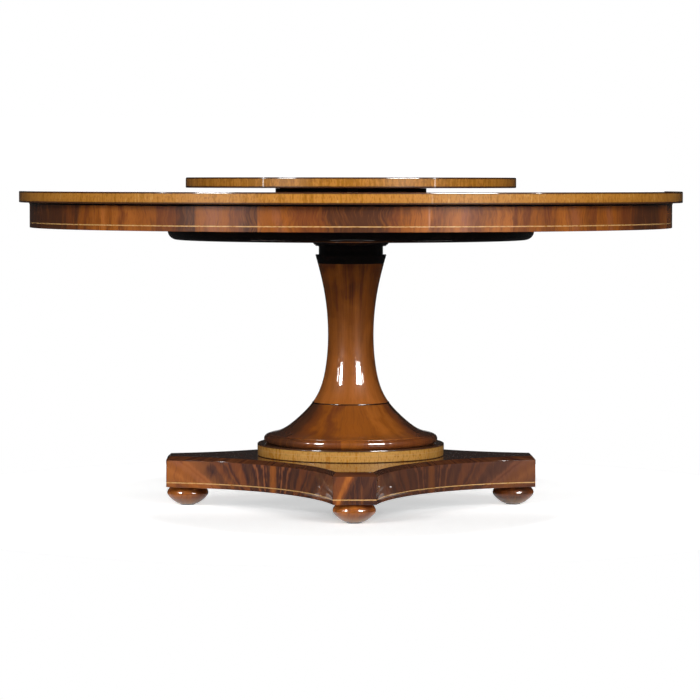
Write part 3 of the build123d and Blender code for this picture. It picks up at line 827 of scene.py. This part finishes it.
def hollow(plan, inset, end, steps):
    """A hollow side's plan as (x, y, u), from x = end to y = end. With end None it is the whole side."""
    reach, centre, radius = plan
    radius += inset
    end = reach - inset if end is None else end
    widest = radians(45) - asin((centre - end) / radius)
    points = []
    for step in range(steps + 1):
        swing = widest * (1 - 2 * step / steps)
        turn = radians(225) + swing
        points.append((centre + radius * cos(turn), centre + radius * sin(turn), radius * swing))
    return points


def turned_by(points, quarter):
    """Plan points turned by that many quarter turns about the axis."""
    for _ in range(quarter % 4):
        points = [(-y, x, u) for x, y, u in points]
    return points


def loft(name, rings, materials, body, replaces, choose=None):
    """Joins closed rings of (x, y, u) points, each with its level, from the lowest up. v is the level."""
    count = len(rings[0][0])
    vertices = [(x, y, level) for ring, level in rings for x, y, _ in ring]
    faces, uvs, kinds = [], [], []
    for row in range(len(rings) - 1):
        low, low_level = rings[row]
        high_level = rings[row + 1][1]
        for step in range(count):
            after = (step + 1) % count
            below, above = row * count, (row + 1) * count
            faces.append([below + step, below + after, above + after, above + step])
            u, last = low[step][2], low[after][2]
            # A jump in u, where the ring turns back, is not stretched over the face.
            if abs(last - u) > 0.15:
                last = u
            uvs += [(u, low_level), (last, low_level), (last, high_level), (u, high_level)]
            kinds.append(choose(row, step) if choose else 0)
    for ring, first in ((rings[0], 0), (rings[-1], (len(rings) - 1) * count)):
        cap = [first + step for step in range(count)]
        cap = cap[::-1] if first == 0 else cap
        faces.append(cap)
        uvs += [(vertices[i][0], vertices[i][1]) for i in cap]
        kinds.append(len(materials) - 1)
    return finish_piece(name, vertices, faces, uvs, kinds, materials, body, replaces, sharp=30)


# From the joint of a hollow side outwards
HOLLOW_LEAF = [
    (0.000, EMBER), (0.033, AMBER), (0.050, UMBER), (0.070, SHADOW), (0.080, ROSE), (0.092, SHADOW),
    (0.120, SHADOW), (0.133, ROSE), (0.147, SHADOW), (0.200, UMBER), (0.225, SHADOW), (0.250, CHESTNUT),
    (0.290, CHESTNUT), (0.325, SHADOW), (0.345, CHESTNUT), (0.365, UMBER), (0.400, CHESTNUT),
    (0.425, UMBER), (0.470, SHADOW), (0.500, UMBER), (0.540, ROSE), (0.575, CHESTNUT), (0.600, ROSE),
    (0.640, AMBER), (0.700, EMBER), (0.780, AMBER), (0.860, CHESTNUT), (1.000, UMBER)]
# Across a cut corner from left to right
CORNER_LEAF = [
    (0.000, UMBER), (0.180, CHESTNUT), (0.300, EMBER), (0.370, CHESTNUT), (0.430, UMBER), (0.500, SHADOW),
    (0.640, SHADOW), (0.740, UMBER), (0.830, SHADOW), (1.000, SHADOW)]


def hollow_veneer(name, bottom):
    """Flame veneer on a hollow side: two mirrored leaves, the figure fanning out from their joint's foot."""
    shader = Shader(name)
    u, v = shader.grain_place()
    aside = shader.math("ABSOLUTE", u)
    fan = shader.add(shader.times(shader.add(v, -bottom), 8.0), 1.0)
    place = shader.math("DIVIDE", aside, shader.times(fan, 0.3))
    colour, fine = leaf_figure(shader, place, aside, v, 0.0, HOLLOW_LEAF, lean=0.2, swirl=0.06, seed=11.0,
                               streak=0.55)
    # Tones set by place: a warm patch at the far left, darker to the right and beside the front corner.
    x = shader.object_place()[0]
    patch = shader.spread(shader.noise((x, 16.0), (v, 14.0), 3.0), 0.40, 0.56)
    colour = shader.mix(shader.times(patch, shader.spread(x, -0.44, -0.26, 0.8, 0.0)), colour, EMBER)
    colour = shader.mix(shader.spread(x, 0.03, 0.12, 0.0, 0.60), colour, UMBER)
    colour = shader.mix(shader.spread(shader.math("ABSOLUTE", x), 0.06, 0.17, 0.55, 0.0), colour, UMBER)
    # Painted reflection: a faint bluish sheen standing in for the floor mirrored in the polish.
    colour = shader.mix(0.012, colour, PAINTED_SHEEN)
    return shader.polish(colour, shader.spread(fine, 0.3, 0.7, 0.34, 0.48), shader.bump(fine, 0.04 * MM))


def corner_veneer(name, half):
    """Veneer on a cut corner, one leaf from arris to arris."""
    shader = Shader(name)
    u, v = shader.grain_place()
    x, y, _ = shader.object_place()
    number = shader.math("ROUND", shader.add(shader.times(x, 3.0), shader.times(y, 5.0)))
    place = shader.spread(shader.add(u, shader.times(v, -0.35)), -half - 0.04, half - 0.02)
    colour, fine = leaf_figure(shader, place, u, v, number, CORNER_LEAF, lean=0.3, swirl=0.22, seed=15.0,
                               streak=0.5)
    # Painted reflection: a faint bluish sheen standing in for the floor mirrored in the polish.
    colour = shader.mix(0.008, colour, PAINTED_SHEEN)
    return shader.polish(colour, shader.spread(fine, 0.3, 0.7, 0.34, 0.48), shader.bump(fine, 0.04 * MM))


def make_plinth():
    plan = plinth_plan()
    reach, centre, radius = plan
    half = centre - sqrt(radius ** 2 - (centre - reach) ** 2)
    bottom, board_low = (corner.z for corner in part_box("corner_block_right"))
    block_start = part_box("corner_block_right")[0].x
    string_low, string_high = (corner.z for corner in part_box("plinth_stringing"))
    lid_low, top = (corner.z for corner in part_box("plinth_top_board"))
    groove = 1.2 * MM
    thickness = 20 * MM
    bevel = 8.5 * MM
    side_steps, fine_steps = 32, 48
    side = hollow_veneer("hollow_side_veneer", bottom)
    corner = corner_veneer("cut_corner_veneer", half)
    core = backing("plinth_core")

    ease = 0.8 * MM
    levels = [(ease, bottom), (0.3 * ease, bottom + 0.3 * ease), (0, bottom + ease), (0, string_low),
              (groove, string_low), (groove, string_high), (0, string_high), (0, board_low)]

    def corner_ring(inset):
        """From the hollow before the corner, round it, to the hollow after it.

        Also the number of steps on each hollow and of points on the flat between them."""
        first = hollow(plan, inset, None, fine_steps)[0][2]
        last = hollow(plan, inset, block_start, fine_steps)[0][2]
        steps = 14
        arc = radius + inset
        away = []
        for step in range(steps + 1):
            swing = (first + (last - first) * step / steps) / arc
            turn = radians(225) + swing
            away.append((centre + arc * cos(turn), centre + arc * sin(turn), swing * arc))
        before = [(x, -y, u) for x, y, u in reversed(away)]
        flat = [before[-2][:2], before[-1][:2], away[0][:2], away[1][:2]]
        flat = eased(flat, {1: 1.5 * MM, 2: 1.5 * MM}, 3)[1:-1]
        flat = [(x, y, y) for x, y in flat]
        flat[0] = (*flat[0][:2], first)
        flat[-1] = (*flat[-1][:2], first)
        return before[:-1] + flat + away[1:], steps, len(flat)

    def corner_face(row, step):
        """The side's veneer on both hollows, the corner's own between them, and core behind."""
        if step >= 2 * steps - 1 + flats:
            return 2
        return 1 if steps <= step < steps + flats - 1 else 0

    for quarter, name in enumerate(("right", "back", "left", "front")):
        rings = []
        for inset, level in levels:
            ring, steps, flats = corner_ring(inset)
            rings.append((turned_by(ring, quarter), level))
        loft(f"plinth_corner_{name}", rings, [side, corner, core], "table",
             [f"corner_block_{name}"], choose=corner_face)
    inner = hollow(plan, thickness, block_start, side_steps)[::-1]
    for quarter, name in enumerate(("back_right", "back_left", "front_left", "front_right")):
        rings = []
        for inset, level in levels:
            rings.append((turned_by(hollow(plan, inset, block_start, side_steps) + inner, quarter), level))
        loft(f"plinth_side_{name}", rings, [side, core], "table", [f"plinth_rail_{name}"],
             choose=lambda row, step: 0 if step < side_steps else 1)

    def outline(inset, inner=False):
        points = []
        for quarter in range(4):
            arc = hollow(plan, inset, block_start if inner else None, fine_steps)
            if not inner:
                start = arc[0]
                arc = arc[1:-1]
                ends = eased([(start[0], -start[1]), start[:2], arc[0][:2]], {1: 1.5 * MM}, 3)[1:-1]
                arc = [(x, y, 0) for x, y in ends] + arc + [(y, x, 0) for x, y in reversed(ends)]
            points += turned_by(arc, quarter)
        return points

    bend = 3 * MM
    run = bend * tan(radians(22.5))
    board_levels = [(0, board_low), (0, top - bevel - run - 0.3 * MM), (0, top - bevel - run)]
    for step in range(1, 6):
        angle = radians(9 * step)
        board_levels.append((bend * (1 - cos(angle)), top - bevel - run + bend * sin(angle)))
    board_levels += [(bevel - 0.5 * MM, top - 0.5 * MM), (bevel - 0.1 * MM, top - 0.15 * MM),
                     (bevel + 0.4 * MM, top), (bevel + 1.4 * MM, top)]
    rings = [(outline(inset), level) for inset, level in board_levels]
    face = dark_mahogany("plinth_dark_mahogany", SHADOW, UMBER, CHESTNUT)
    bevelled = dark_mahogany("plinth_bevel_mahogany", SHADOW, UMBER, (0.120, 0.038, 0.014))
    loft("plinth_moulded_board", rings, [bevelled, face], "table", ["plinth_top_board"])
    rings = [(outline(thickness, True), level) for level in (lid_low, board_low)]
    loft("plinth_lid_board", rings, [core], "table", ["plinth_top_board"])

    rings = []
    for inset, level in ((groove, string_low), (0, string_low), (0, string_high), (groove, string_high),
                         (groove, string_low)):
        rings.append((outline(inset), level))
    loft("plinth_string_line", rings, [boxwood("plinth_boxwood")], "table", ["plinth_stringing"])


add_camera()
add_lights()
add_world()
add_floor()
make_tray_and_top()
make_apron()
make_pedestal()
make_plinth()
make_feet()

# CAD nodes that no piece replaces keep their own shape.
plain = {
    "steel": metal("zinc_steel", (0.55, 0.55, 0.53), 0.35),
    "black_aluminium": metal("black_anodised", (0.035, 0.033, 0.032), 0.4),
    "nylon": plastic("nylon", (0.70, 0.68, 0.60), 0.5),
    "glide_plastic": plastic("glide_plastic", (0.05, 0.04, 0.035), 0.5),
    "beech": beech("beech_wood"),
}
worn_steel = metal("worn_steel", (0.40, 0.38, 0.36), 0.4, metallic=0.5)
slots = {part["node"]: part["material_slot"] for part in frame["record"]["subparts"]}
for name, node in nodes.items():
    if not node.hide_render:
        node.data.materials.clear()
        node.data.materials.append(worn_steel if name == "race_loading_plug" else plain[slots[name]])

tops = ["tray_veneered_panel", "tabletop_veneered_panel"]
keep_glare_off(tops + ["plinth_moulded_board"], ["gleam_left", "gleam_right"])
keep_glare_off(tops, ["gleam_left_low", "gleam_right_low", "strip_left_upper", "strip_right_upper",
                      "halo_left", "halo_right", "strip_middle_upper"])
bpy.context.scene.view_settings.view_transform = "Standard"
